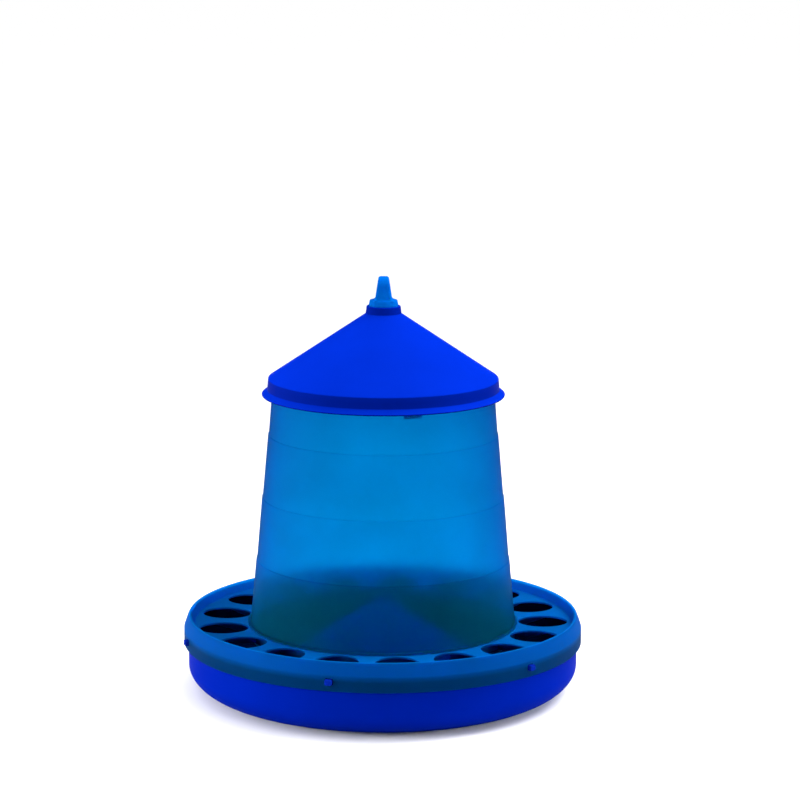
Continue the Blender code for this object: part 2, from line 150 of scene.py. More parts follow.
# Hanging handle: the post, the strap with its loop, and the arms, pads and hooks inside.
HANDLE_AZIMUTH = 15.8
HANDLE_TOP = HANDLE_HIGH.z
POST_RADIUS = 0.0141
POST_TOP_RADIUS = 0.0130
POST_SHOULDER = 0.3707
POST_SHOULDER_RADIUS = POST_RADIUS - 0.0002
POST_TOP = 0.3753
POST_BOTTOM = 0.3460
POST_WALL = 0.0025
STRAP_AZIMUTH = 0.0
STRAP_SINK = 0.0010
STRAP_FLARE = 0.0012
STRAP_FLARE_HEIGHT = 0.0022
STRAP_EDGE = 0.0024
LOOP_HALF_DEPTH = 0.0098
LOOP_HALF_WIDTH = 0.0081
LOOP_TOP_HALF_WIDTH = 0.0047
LOOP_CORNER = 0.0024
LOOP_HOLE_RADIUS = 0.0057
LOOP_HOLE_PROFILE = (  # how far out it is, and how much wider there
    (0.0044, 0.0), (0.0054, 0.0002), (0.0062, 0.0006), (0.0072, 0.0014), (0.0100, 0.0030),
)
ARM_WIDTH = 0.0120
ARM_DEPTH = 0.0060
ARM_CLEARANCE = 0.0040
PAD_WIDTH = 0.0170
PAD_BOTTOM = HANDLE_LOW.z
PAD_TOP_RADIUS = 0.1011
PAD_BOTTOM_RADIUS = 0.1025
PAD_THICKNESS = 0.0026
HOOK_SPREAD = 3.05
HOOK_HEIGHTS = (0.2836, 0.2874)
HOOK_WIDTH = 0.0040
HOOK_REACH = 0.1069
WINDOW_ROOM = 0.0005
WINDOW_RADII = (0.0980, 0.1120)


def turn(azimuth):
    """Azimuth 0 is the front, -Y, and it grows towards +X. Gives the outward and sideways directions."""
    angle = math.radians(azimuth)
    return Vector((math.sin(angle), -math.cos(angle), 0.0)), Vector((math.cos(angle), math.sin(angle), 0.0))


def around(first, count):
    return [first + 360.0 * i / count for i in range(count)]


def rounded(corners, closed=True):
    """An outline of (radius, height, fillet) corners, with each fillet as an arc."""
    outline = []
    count = len(corners)
    for i, (x, y, fillet) in enumerate(corners):
        here = Vector((x, y))
        if fillet == 0.0 or (not closed and i in (0, count - 1)):
            outline.append((x, y))
            continue
        before = Vector(corners[i - 1][:2]) - here
        after = Vector(corners[(i + 1) % count][:2]) - here
        half = before.angle(after) / 2
        room = 0.49 * min(before.length, after.length)
        reach = min(fillet / math.tan(half), room)
        radius = reach * math.tan(half)
        middle = (before.normalized() + after.normalized()).normalized()
        centre = here + middle * radius / math.sin(half)
        start = here + before.normalized() * reach - centre
        end = here + after.normalized() * reach - centre
        sweep = math.atan2(start.cross(end), start.dot(end))
        steps = max(2, math.ceil(abs(sweep) / ARC_STEP))
        for j in range(steps + 1):
            angle = sweep * j / steps
            spoke = Vector((
                start.x * math.cos(angle) - start.y * math.sin(angle),
                start.x * math.sin(angle) + start.y * math.cos(angle),
            ))
            outline.append(tuple(centre + spoke))
    return outline


def split_long(outline, closed):
    """Adds points along an outline's long straight runs, so that wear at an edge stays by the edge."""
    corners = outline + outline[:1] if closed else outline
    points = [corners[0]]
    for (x0, y0), (x1, y1) in zip(corners, corners[1:]):
        steps = max(1, math.ceil(math.hypot(x1 - x0, y1 - y0) / LONGEST_RUN))
        points += [(x0 + (x1 - x0) * i / steps, y0 + (y1 - y0) * i / steps) for i in range(1, steps + 1)]
    return points[:-1] if closed else points


def lathe(bm, outline, first_azimuth=0.0, closed=True, columns=COLUMNS):
    """Sweeps an outline of (radius, height) points round the axis. One on the axis becomes one vertex."""
    outline = split_long(outline, closed)
    rows = []
    directions = [turn(azimuth)[0] for azimuth in around(first_azimuth, columns)]
    for radius, height in outline:
        up = Vector((0.0, 0.0, height))
        if radius < 1e-6:
            rows.append([bm.verts.new(up)] * columns)
        else:
            rows.append([bm.verts.new(direction * radius + up) for direction in directions])
    pairs = list(zip(rows, rows[1:]))
    if closed:
        pairs.append((rows[-1], rows[0]))
    for upper, lower in pairs:
        for i in range(columns):
            j = (i + 1) % columns
            corners = []
            for vert in (upper[i], lower[i], lower[j], upper[j]):
                if vert not in corners:
                    corners.append(vert)
            bm.faces.new(corners)


def add_layers(bm, loops):
    """A closed body through a stack of loops with the same number of points."""
    layers = [[bm.verts.new(point) for point in loop] for loop in loops]
    bm.faces.new(layers[0][::-1])
    bm.faces.new(layers[-1])
    join_loops(bm, layers)


def join_loops(bm, layers):
    """Faces between each loop of vertices and the next."""
    for low, high in zip(layers, layers[1:]):
        for i, corner in enumerate(low):
            j = (i + 1) % len(low)
            bm.faces.new((corner, low[j], high[j], high[i]))


def add_plate(bm, azimuth, outline, thickness, bevel=0.0):
    """An outline of (radius, height) points in the plane of the azimuth, thickened to both sides of it."""
    part = bmesh.new()
    outward, sideways = turn(azimuth)
    middle = [outward * radius + Vector((0.0, 0.0, height)) for radius, height in outline]
    half = sideways * thickness / 2
    add_layers(part, [[point - half for point in middle], [point + half for point in middle]])
    join_part(bm, part, bevel)


def add_box(bm, azimuth, radii, heights, width, bevel=0.0):
    (inner, outer), (low, high) = radii, heights
    add_plate(bm, azimuth, [(inner, low), (outer, low), (outer, high), (inner, high)], width, bevel)


def add_sector(bm, azimuth, half_angle, radii, heights, bevel=0.0):
    """A curved block between two radii, centred on the azimuth."""
    part = bmesh.new()
    steps = max(1, round(half_angle * 2))
    angles = [azimuth + half_angle * (2 * i / steps - 1) for i in range(steps + 1)]
    ring = [turn(angle)[0] * radii[1] for angle in angles]
    ring += [turn(angle)[0] * radii[0] for angle in reversed(angles)]
    add_layers(part, [[point + Vector((0.0, 0.0, z)) for point in ring] for z in heights])
    join_part(bm, part, bevel)


def join_part(bm, part, bevel):
    """Rounds a part's sharp edges and adds it to the bmesh."""
    bmesh.ops.recalc_face_normals(part, faces=part.faces)
    if bevel:
        sharp = [edge for edge in part.edges if edge.calc_face_angle(0.0) > SHARP_EDGE]
        bmesh.ops.bevel(part, geom=sharp, offset=bevel, segments=3, profile=0.5, affect="EDGES")
    mesh = bpy.data.meshes.new("part")
    part.to_mesh(mesh)
    part.free()
    bm.from_mesh(mesh)
    bpy.data.meshes.remove(mesh)


def make_object(name, bm):
    bmesh.ops.recalc_face_normals(bm, faces=bm.faces)
    mesh = bpy.data.meshes.new(name)
    bm.to_mesh(mesh)
    bm.free()
    made = bpy.data.objects.new(name, mesh)
    bpy.context.scene.collection.objects.link(made)
    return made


def combine(target, bm, operation):
    """Cuts the bmesh's bodies from the target or joins them on, for good."""
    tool = make_object("tool", bm)
    modifier = target.modifiers.new("combine", "BOOLEAN")
    modifier.operation = operation
    modifier.solver = "EXACT"
    modifier.object = tool
    graph = bpy.context.evaluated_depsgraph_get()
    mesh = bpy.data.meshes.new_from_object(target.evaluated_get(graph))
    old = target.data
    target.modifiers.clear()
    target.data = mesh
    bpy.data.meshes.remove(old)
    bpy.data.objects.remove(tool)


def finish_piece(piece, body, node, material):
    """Shades a piece, gives it its material, ties it to its body, and hides its CAD node."""
    piece.data.materials.clear()
    piece.data.materials.append(material)
    piece.data.shade_smooth()
    piece.data.set_sharp_from_angle(angle=SHARP_EDGE)
    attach(piece, body)
    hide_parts(node)


# Materials

WHITE = (1.0, 1.0, 1.0)
FLOW_SCALE = 14.0
SPECKLE_SCALE = 900.0
SPECKLE_SHARE = 0.35
MOTTLE_RANGE = (0.45, 0.90)
MOTTLE_DEPTH = 2.2
WORN_RANGE = (0.53, 0.60)
WORN_SHARE = 0.05
WORN_WHITE = (0.06, 0.25, 0.25)
SCRATCH_TURN = (0.5, 0.4, 0.9)
SCRATCH_SCALE = (40.0, 900.0, 60.0)
SCRATCH_RANGE = (0.62, 0.72)
SHEEN_CHANGE = 0.06
# A faint blue gloss, with a low index in each plastic, keeps white haze off the colours.
GLOSS = 0.03
GLOSS_TINT = (0.0, 0.35, 1.0, 1.0)
BUMP = {"Strength": 0.12, "Distance": 0.0002}


def add_node(tree, kind, inputs=None, **settings):
    made = tree.nodes.new(kind)
    for key, value in settings.items():
        setattr(made, key, value)
    for key, value in (inputs or {}).items():
        made.inputs[key].default_value = value
    return made


def map_range(tree, value, start, end, low=0.0, high=1.0):
    inputs = {"From Min": start, "From Max": end, "To Min": low, "To Max": high}
    made = add_node(tree, "ShaderNodeMapRange", inputs)
    tree.links.new(value, made.inputs["Value"])
    return made.outputs["Result"]


def object_height(tree):
    place = add_node(tree, "ShaderNodeTexCoord")
    parts = add_node(tree, "ShaderNodeSeparateXYZ")
    tree.links.new(place.outputs["Object"], parts.inputs["Vector"])
    return parts.outputs["Z"]


def mix_shades(tree, share, first, second):
    made = add_node(tree, "ShaderNodeMix", data_type="RGBA")
    made.inputs["A"].default_value = (*first, 1.0)
    made.inputs["B"].default_value = (*second, 1.0)
    tree.links.new(share, made.inputs["Factor"])
    return made.outputs["Result"]


def multiply(tree, colour, shade):
    made = add_node(tree, "ShaderNodeMix", {"Factor": 1.0}, data_type="RGBA", blend_type="MULTIPLY")
    tree.links.new(colour, made.inputs["A"])
    tree.links.new(shade, made.inputs["B"])
    return made.outputs["Result"]


def paint_shade_below(tree, colour, heights, shade):
    """Multiplies the colour by a painted shade below a height, fading over the pair of heights."""
    share = map_range(tree, object_height(tree), *heights)
    return multiply(tree, colour, mix_shades(tree, share, shade, WHITE))


def paint_light_and_shade_by_facing(tree, colour, aim, limits, shades):
    """Multiplies the colour by one of two shades, painted light or painted shade, by how far a surface faces
    an aim.

    The aim is (pull, lift): the first times the distance from the axis, and the second upwards.
    """
    place = add_node(tree, "ShaderNodeTexCoord")
    pull = add_node(tree, "ShaderNodeVectorMath", {1: (aim[0], aim[0], 0.0)}, operation="MULTIPLY")
    lift = add_node(tree, "ShaderNodeVectorMath", {1: (0.0, 0.0, aim[1])}, operation="ADD")
    facing = add_node(tree, "ShaderNodeVectorMath", operation="DOT_PRODUCT")
    tree.links.new(place.outputs["Object"], pull.inputs[0])
    tree.links.new(pull.outputs["Vector"], lift.inputs[0])
    tree.links.new(lift.outputs["Vector"], facing.inputs[0])
    tree.links.new(place.outputs["Normal"], facing.inputs[1])
    share = map_range(tree, facing.outputs["Value"], *limits)
    return multiply(tree, colour, mix_shades(tree, share, *shades))


def paint_shade_under_ledges(tree, colour, first, spacing, line, shades):
    """Multiplies the colour by a painted shade that repeats with height, darkest in a line under each ledge.
    """
    steps = {1: 1.0 / spacing, 2: -first / spacing}
    share = add_node(tree, "ShaderNodeMath", steps, operation="MULTIPLY_ADD")
    within = add_node(tree, "ShaderNodeMath", operation="FRACT")
    ramp = add_node(tree, "ShaderNodeValToRGB")
    at_line, below, above = shades
    mark = line / spacing
    stops = (
        (0.0, above),
        (0.9 - mark, below),
        (1.0 - 1.2 * mark, below),
        (1.0 - mark, at_line),
        (1.0, at_line),
    )
    while len(ramp.color_ramp.elements) < len(stops):
        ramp.color_ramp.elements.new(0.5)
    for element, (position, shade) in zip(ramp.color_ramp.elements, stops):
        element.position = position
        element.color = (*shade, 1.0)
    tree.links.new(object_height(tree), share.inputs[0])
    tree.links.new(share.outputs[0], within.inputs[0])
    tree.links.new(within.outputs[0], ramp.inputs["Fac"])
    return multiply(tree, colour, ramp.outputs["Color"])


def surface_colour(tree, colour, grain, flow, speckle):
    """Broad flow marks, a fine mottle, and paler rubbed edges."""
    blend = add_node(tree, "ShaderNodeMath", {1: SPECKLE_SHARE}, operation="MULTIPLY_ADD")
    tree.links.new(speckle, blend.inputs[0])
    tree.links.new(flow, blend.inputs[2])
    ramp = add_node(tree, "ShaderNodeValToRGB")
    changes = (-MOTTLE_DEPTH * grain, MOTTLE_DEPTH * grain)
    for element, position, change in zip(ramp.color_ramp.elements, MOTTLE_RANGE, changes):
        element.position = position
        element.color = (*[min(1.0, part * (1.0 + change)) for part in colour], 1.0)
    tree.links.new(blend.outputs[0], ramp.inputs["Fac"])
    geometry = add_node(tree, "ShaderNodeNewGeometry")
    pale = [0.6 * part + white for part, white in zip(colour, WORN_WHITE)]
    rubbed = add_node(tree, "ShaderNodeMix", data_type="RGBA")
    rubbed.inputs["B"].default_value = (*pale, 1.0)
    edges = map_range(tree, geometry.outputs["Pointiness"], *WORN_RANGE, 0.0, WORN_SHARE)
    tree.links.new(edges, rubbed.inputs["Factor"])
    tree.links.new(ramp.outputs["Color"], rubbed.inputs["A"])
    return rubbed.outputs["Result"]


def surface_roughness(tree, roughness, scratches, flow, place):
    """A sheen that varies with the flow marks, and fine scratches."""
    turned = add_node(tree, "ShaderNodeMapping", {"Rotation": SCRATCH_TURN, "Scale": SCRATCH_SCALE})
    noise = add_node(tree, "ShaderNodeTexNoise", {"Scale": 1.0, "Detail": 1.0})
    tree.links.new(place, turned.inputs["Vector"])
    tree.links.new(turned.outputs["Vector"], noise.inputs["Vector"])
    total = add_node(tree, "ShaderNodeMath", operation="ADD")
    scratch = map_range(tree, noise.outputs["Fac"], *SCRATCH_RANGE, 0.0, scratches)
    sheen = map_range(tree, flow, 0.0, 1.0, roughness - SHEEN_CHANGE, roughness + SHEEN_CHANGE)
    tree.links.new(scratch, total.inputs[0])
    tree.links.new(sheen, total.inputs[1])
    return total.outputs[0]


def plastic(
    name, colour, roughness, ior, transmission=0.0, grain=0.03, scratches=0.10, painted_shading=(), depth=None
):
    """Moulded plastic. The painted light and shade come as (function, settings) pairs, and depth as a
    (colour, density) pair.
    """
    made = bpy.data.materials.new(name)
    made.use_nodes = True
    tree = made.node_tree
    shader = tree.nodes["Principled BSDF"]
    shader.inputs["IOR"].default_value = ior
    shader.inputs["Transmission Weight"].default_value = transmission
    shader.inputs["Specular IOR Level"].default_value = GLOSS
    shader.inputs["Specular Tint"].default_value = GLOSS_TINT

    place = add_node(tree, "ShaderNodeTexCoord").outputs["Object"]
    flow = add_node(tree, "ShaderNodeTexNoise", {"Scale": FLOW_SCALE, "Detail": 3.0, "Roughness": 0.5})
    speckle = add_node(tree, "ShaderNodeTexNoise", {"Scale": SPECKLE_SCALE, "Detail": 2.0, "Roughness": 0.6})
    for noise in (flow, speckle):
        tree.links.new(place, noise.inputs["Vector"])
    shade = surface_colour(tree, colour, grain, flow.outputs["Fac"], speckle.outputs["Fac"])
    # Painted light and painted shade, multiplied into the colour.
    for apply_painted_shade, settings in painted_shading:
        shade = apply_painted_shade(tree, shade, *settings)
    tree.links.new(shade, shader.inputs["Base Color"])
    rough = surface_roughness(tree, roughness, scratches, flow.outputs["Fac"], place)
    tree.links.new(rough, shader.inputs["Roughness"])
    bump = add_node(tree, "ShaderNodeBump", BUMP)
    tree.links.new(speckle.outputs["Fac"], bump.inputs["Height"])
    tree.links.new(bump.outputs["Normal"], shader.inputs["Normal"])
    if depth:
        kept, density = depth
        inner = add_node(tree, "ShaderNodeVolumeAbsorption", {"Color": (*kept, 1.0), "Density": density})
        tree.links.new(inner.outputs["Volume"], tree.nodes["Material Output"].inputs["Volume"])
    return made


# What each function that paints light or shade into a colour is given after the tree and the colour.
# Painted shade on the ring's skirt below the tray's rim, where the tray's wall stands behind it.
SKIRT_PAINTED_SHADE = ((0.0565, 0.0630), (1.0, 0.46, 0.40))
# Painted shade on the ring's outward and downward faces, and painted light on its inward and upward faces.
RING_PAINTED_LIGHT_AND_SHADE = ((-1.0, 0.15), (-0.05, 0.05), ((1.0, 0.54, 0.70), (1.0, 1.08, 1.14)))
# Painted shade on the floor and inner wall of the tray's trough under the ring; the cone keeps its full
# colour.
TRAY_PAINTED_TROUGH_SHADE = ((-1.0, 0.07), (0.058, 0.068), (WHITE, (1.0, 0.65, 0.13)))
# Painted shade on the lid's steep and downward faces; faces turned up keep their full colour.
LID_PAINTED_SIDE_SHADE = ((0.0, 1.0), (0.0, 0.6), ((1.0, 0.34, 0.39), WHITE))
# Painted shade on the hopper: a dark line just under each ledge, and a band darkening towards it from below.
LEDGE_SHADE_LINE = 0.0011
LEDGE_PAINTED_SHADES = ((1.0, 0.84, 0.90), (1.0, 0.94, 0.97), WHITE)
LEDGE_PAINTED_SHADE_BANDS = (STEP_HEIGHTS[2], STEP_HEIGHTS[1] - STEP_HEIGHTS[2], LEDGE_SHADE_LINE, LEDGE_PAINTED_SHADES)

TRAY_PLASTIC = plastic(
    "moulded_tray",
    (0.0, 0.0078, 0.205),
    roughness=0.42,
    ior=1.08,
    # Painted shade in the trough.
    painted_shading=[(paint_light_and_shade_by_facing, TRAY_PAINTED_TROUGH_SHADE)],
)
RING_PLASTIC = plastic(
    "moulded_ring",
    (0.0, 0.18, 0.58),
    roughness=0.60,
    ior=1.06,
    transmission=0.65,
    scratches=0.02,
    # Painted shade on the skirt, and painted light and shade by which way each face of the ring turns.
    painted_shading=[(paint_shade_below, SKIRT_PAINTED_SHADE), (paint_light_and_shade_by_facing, RING_PAINTED_LIGHT_AND_SHADE)],
)
HOPPER_PLASTIC = plastic(
    "moulded_hopper",
    (0.0, 0.47, 0.68),
    roughness=0.55,
    ior=1.035,
    transmission=0.95,
    grain=0.04,
    scratches=0.01,
    # Painted shade under the ledges.
    painted_shading=[(paint_shade_under_ledges, LEDGE_PAINTED_SHADE_BANDS)],
    depth=((0.0, 0.625, 0.895), 300.0),
)
HANDLE_PLASTIC = plastic(
    "moulded_handle",
    (0.0, 0.135, 0.60),
    roughness=0.60,
    ior=1.06,
    transmission=0.3,
    scratches=0.03,
)
LID_PLASTIC = plastic(
    "moulded_lid",
    (0.0, 0.0170, 0.385),
    roughness=0.42,
    ior=1.10,
    # Painted shade on the lid's skirt.
    painted_shading=[(paint_light_and_shade_by_facing, LID_PAINTED_SIDE_SHADE)],
)


# Pieces


def superellipse(width, depth, steps=24):
    """The tray's lower corner, from its flat bottom up to its straight side."""
    points = []
    for i in range(steps + 1):
        angle = math.pi / 2 * (1 - i / steps)
        radius = TRAY_FLAT_RADIUS + width * max(math.cos(angle), 0.0) ** (2 / TRAY_CORNER_POWER)
        height = TRAY_CORNER_HEIGHT - depth * math.sin(angle) ** (2 / TRAY_CORNER_POWER)
        points.append((radius, height))
    return points


def cone_tip(apex, tip_radius, slope, steps=8):
    """The rounded tip of a cone, from its side up to the axis."""
    centre = apex - tip_radius / math.cos(slope)
    angles = [slope * (1 - i / steps) for i in range(steps + 1)]
    return [(tip_radius * math.sin(a), centre + tip_radius * math.cos(a)) for a in angles]


def build_tray():
    slope = math.atan2(CONE_APEX - TRAY_WALL, CONE_BASE_RADIUS)
    under_apex = CONE_APEX - TRAY_WALL / math.cos(slope)
    hollow_edge = under_apex / math.tan(slope)
    width = TRAY_RADIUS - TRAY_FLAT_RADIUS
    rim = rounded(
        [
            (TRAY_RADIUS, TRAY_CORNER_HEIGHT, 0.0),
            (TRAY_RADIUS, TRAY_RIM, RIM_FILLET),
            (TRAY_RADIUS - TRAY_WALL, TRAY_RIM, RIM_FILLET),
            (TRAY_RADIUS - TRAY_WALL, TRAY_CORNER_HEIGHT, 0.0),
        ],
        closed=False,
    )
    halfway = CONE_BASE_RADIUS / 2
    floor = rounded(
        [
            (TRAY_FLAT_RADIUS, TRAY_WALL, 0.0),
            (CONE_BASE_RADIUS, TRAY_WALL, CONE_FOOT_FILLET),
            (halfway, TRAY_WALL + halfway * math.tan(slope), 0.0),
        ],
        closed=False,
    )
    outline = cone_tip(under_apex, CONE_TIP_RADIUS - TRAY_WALL, slope)[::-1]
    outline.append((hollow_edge, 0.0))
    outline += superellipse(width, TRAY_CORNER_HEIGHT) + rim[1:-1]
    outline += superellipse(width - TRAY_WALL, TRAY_CORNER_HEIGHT - TRAY_WALL)[::-1] + floor[1:]
    outline += cone_tip(CONE_APEX, CONE_TIP_RADIUS, slope)
    bm = bmesh.new()
    lathe(bm, outline, closed=False)
    tray = make_object("feed_tray_moulding", bm)

    extras = bmesh.new()
    slant = [(radius, CONE_APEX - radius * math.tan(slope)) for radius in CONE_RIB_ENDS]
    rib = [(radius, height + CONE_RIB_RISE) for radius, height in slant]
    rib += [(radius, height - CONE_RIB_ROOT) for radius, height in slant[::-1]]
    for azimuth in around(CONE_RIB_AZIMUTH, CONE_RIB_COUNT):
        add_plate(extras, azimuth, rib, CONE_RIB_WIDTH, bevel=0.0007)
    peg_radii = (TRAY_RADIUS - TRAY_WALL / 2, PEG_REACH)
    peg_heights = (PEG_HEIGHT - PEG_THICKNESS / 2, PEG_HEIGHT + PEG_THICKNESS / 2)
    for azimuth in around(PEG_AZIMUTH, PEG_COUNT):
        add_box(extras, azimuth, peg_radii, peg_heights, PEG_WIDTH, bevel=0.0013)
    combine(tray, extras, "UNION")
    finish_piece(tray, "base", "feed_tray", TRAY_PLASTIC)


def opening_loop(azimuth, grow, height, angles):
    """Points round a feed opening, grown by a margin."""
    outward, sideways = turn(azimuth)
    points = []
    for angle in angles:
        along = outward * (OPENING_RADIUS + (OPENING_RADIAL_HALF + grow) * math.cos(angle))
        across = sideways * (OPENING_TANGENT_HALF + grow) * math.sin(angle)
        points.append(along + across + Vector((0.0, 0.0, height)))
    return points


def plate_edge(azimuth, radii, height, arc_steps=12, side_steps=12):
    """Points round one opening's share of the plate: out along one side, over, back, and under."""
    inner, outer = radii
    half = 180.0 / OPENING_COUNT
    points = []
    for i in range(side_steps):
        points.append((half, inner + (outer - inner) * i / side_steps))
    for i in range(arc_steps):
        points.append((half - 2 * half * i / arc_steps, outer))
    for i in range(side_steps):
        points.append((-half, outer + (inner - outer) * i / side_steps))
    for i in range(arc_steps):
        points.append((-half + 2 * half * i / arc_steps, inner))
    return [turn(azimuth + offset)[0] * radius + Vector((0.0, 0.0, height)) for offset, radius in points]


def add_opening(bm, azimuth, top_radii, bottom_radii, top_steps=4, low_steps=3):
    """The plate around one feed opening, with rounded edges to the hole."""
    bottom = PLATE_TOP - RING_WALL
    outward, sideways = turn(azimuth)
    top_edge = plate_edge(azimuth, top_radii, PLATE_TOP)
    angles = []
    for point in top_edge:
        offset = point - outward * OPENING_RADIUS
        across = offset.dot(sideways) / OPENING_TANGENT_HALF
        along = offset.dot(outward) / OPENING_RADIAL_HALF
        angles.append(math.atan2(across, along))
    loops = [top_edge]
    for i in range(top_steps + 1):
        angle = math.pi / 2 * i / top_steps
        grow = OPENING_TOP_ROUND * (1 - math.sin(angle))
        height = PLATE_TOP - OPENING_TOP_ROUND * (1 - math.cos(angle))
        loops.append(opening_loop(azimuth, grow, height, angles))
    for i in range(low_steps + 1):
        angle = math.pi / 2 * i / low_steps
        grow = OPENING_LOW_ROUND * (1 - math.cos(angle))
        height = bottom + OPENING_LOW_ROUND * (1 - math.sin(angle))
        loops.append(opening_loop(azimuth, grow, height, angles))
    loops.append(plate_edge(azimuth, bottom_radii, bottom))
    join_loops(bm, [[bm.verts.new(point) for point in loop] for loop in loops])


def build_ring():
    wall = RING_WALL
    bottom = PLATE_TOP - wall
    collar_outside = COLLAR_RADIUS + COLLAR_WALL
    half_share = 180.0 / OPENING_COUNT
    rim = [
        (PLATE_EDGE_RADIUS, PLATE_TOP, 0.0),
        (PLATE_RADIUS, PLATE_TOP, 0.0012),
        (CREST_RADIUS - CREST_HALF_WIDTH, CREST, 0.0016),
        (CREST_RADIUS + CREST_HALF_WIDTH, CREST, 0.0016),
        (*SHOULDER, 0.0030),
        (*SKIRT_TOP, 0.0020),
        (RING_RADIUS, RING_BOTTOM, 0.0007),
        (RING_RADIUS - wall, RING_BOTTOM, 0.0004),
        (SKIRT_TOP[0] - wall, SKIRT_TOP[1] - wall * 0.2, 0.0010),
        (SHOULDER[0] - wall * 0.8, SHOULDER[1] - wall * 0.6, 0.0010),
        (CREST_RADIUS, CREST - wall * 1.2, 0.0010),
        (PLATE_RADIUS + wall / 2, bottom, 0.0010),
        (PLATE_EDGE_RADIUS, bottom, 0.0),
    ]
    collar = [
        (collar_outside, bottom, 0.0),
        (collar_outside, COLLAR_BOTTOM, 0.0006),
        (COLLAR_RADIUS, COLLAR_BOTTOM, 0.0006),
        (COLLAR_RADIUS, PLATE_TOP, 0.0),
    ]
    bm = bmesh.new()
    for corners in (rim, collar):
        lathe(bm, rounded(corners, closed=False), OPENING_AZIMUTH - half_share, closed=False)
    for azimuth in around(OPENING_AZIMUTH, OPENING_COUNT):
        add_opening(bm, azimuth, (COLLAR_RADIUS, PLATE_EDGE_RADIUS), (collar_outside, PLATE_EDGE_RADIUS))
    bmesh.ops.remove_doubles(bm, verts=bm.verts, dist=2e-6)
    ring = make_object("feed_ring_moulding", bm)

    # Holes in the skirt for the tray's pegs, and notches in the collar for the hopper's lugs.
    cuts = bmesh.new()
    hole = PEG_THICKNESS / 2 + PEG_ROOM
    hole_radii = (RING_RADIUS - 0.005, RING_RADIUS + 0.003)
    hole_heights = (PEG_HEIGHT - hole, PEG_HEIGHT + hole)
    for azimuth in around(PEG_AZIMUTH, PEG_COUNT):
        add_box(cuts, azimuth, hole_radii, hole_heights, PEG_WIDTH + 2 * PEG_ROOM, bevel=0.0014)
    notch_radii = (COLLAR_RADIUS - 0.004, collar_outside + 0.0005)
    notch_heights = (COLLAR_BOTTOM - 0.002, PLATE_TOP + 0.002)
    for azimuth in around(LUG_AZIMUTH + TWIST, LUG_COUNT):
        add_sector(cuts, azimuth, NOTCH_HALF_ANGLE, notch_radii, notch_heights)
    combine(ring, cuts, "DIFFERENCE")

    # A gusset between each pair of openings, and a stop at each end of a lug's travel.
    extras = bmesh.new()
    inside = PLATE_TOP - wall / 2
    gusset_bottom = COLLAR_BOTTOM + 0.0003
    gusset = [
        (COLLAR_RADIUS + COLLAR_WALL / 2, inside),
        (COLLAR_RADIUS + COLLAR_WALL / 2, gusset_bottom),
        (GUSSET_FOOT_RADIUS, gusset_bottom),
        (GUSSET_END_RADIUS, bottom),
        (GUSSET_END_RADIUS, inside),
    ]
    for azimuth in around(OPENING_AZIMUTH + half_share, OPENING_COUNT):
        add_plate(extras, azimuth, gusset, GUSSET_WIDTH, bevel=0.0003)
    stop_radii = (COLLAR_RADIUS + 0.0004, collar_outside - 0.0004)
    stop_heights = (COLLAR_BOTTOM - LUG_HEIGHT, COLLAR_BOTTOM + 0.002)
    for first in (LUG_AZIMUTH - STOP_OFFSET, LUG_AZIMUTH + TWIST + STOP_OFFSET):
        for azimuth in around(first, LUG_COUNT):
            add_sector(extras, azimuth, STOP_HALF_ANGLE, stop_radii, stop_heights, bevel=0.0003)
    combine(ring, extras, "UNION")
    finish_piece(ring, "base", "feed_ring", RING_PLASTIC)


def hook_azimuths():
    """A pair of hooks at each end of the handle."""
    return [HANDLE_AZIMUTH + end + side * HOOK_SPREAD for end in (0.0, 180.0) for side in (-1, 1)]


def build_hopper():
    wall = HOPPER_WALL
    side = []
    for height, radius in zip(STEP_HEIGHTS, STEP_RADII):
        side.append((radius - STEP_LEDGE, height, 0.0003))
        side.append((radius, height - STEP_LEDGE, 0.0003))
    outer = [(HOPPER_TOP_RADIUS, HOPPER_TOP, 0.0006), *side, (FOOT_RADIUS, FOOT_TOP, 0.0020)]
    inner = [(radius - wall, height, fillet) for radius, height, fillet in outer[::-1]]
    foot = [
        (FOOT_RADIUS + 0.0004, FLANGE_TOP, 0.0010),
        (FLANGE_RADIUS, FLANGE_TOP, 0.0007),
        (FLANGE_RADIUS, FLANGE_BOTTOM, 0.0005),
        (SPIGOT_RADIUS, FLANGE_BOTTOM, 0.0),
        (SPIGOT_RADIUS, HOPPER_BOTTOM, 0.0006),
        (SPIGOT_RADIUS - wall, HOPPER_BOTTOM, 0.0006),
        (SPIGOT_RADIUS - wall, FLANGE_BOTTOM, 0.0010),
    ]
    bm = bmesh.new()
    lathe(bm, rounded(outer + foot + inner))
    hopper = make_object("hopper_moulding", bm)

    lugs = bmesh.new()
    lug_radii = (SPIGOT_RADIUS - wall / 2, LUG_REACH)
    for azimuth in around(LUG_AZIMUTH, LUG_COUNT):
        add_sector(lugs, azimuth, LUG_HALF_ANGLE, lug_radii, (LUG_TOP - LUG_HEIGHT, LUG_TOP), bevel=0.0004)
    combine(hopper, lugs, "UNION")
    windows = bmesh.new()
    window_heights = (HOOK_HEIGHTS[0] - WINDOW_ROOM, HOOK_HEIGHTS[1] + WINDOW_ROOM)
    for azimuth in hook_azimuths():
        add_box(windows, azimuth, WINDOW_RADII, window_heights, HOOK_WIDTH + 2 * WINDOW_ROOM)
    combine(hopper, windows, "DIFFERENCE")
    finish_piece(hopper, "hopper", "hopper", HOPPER_PLASTIC)


def lid_under(radius):
    """Height of the underside of the lid's cone."""
    fall = (CONE_TOP[1] - CONE_EDGE[1]) / (CONE_EDGE[0] - CONE_TOP[0])
    return CONE_TOP[1] - fall * (radius - CONE_TOP[0]) - LID_WALL * math.hypot(1.0, fall)


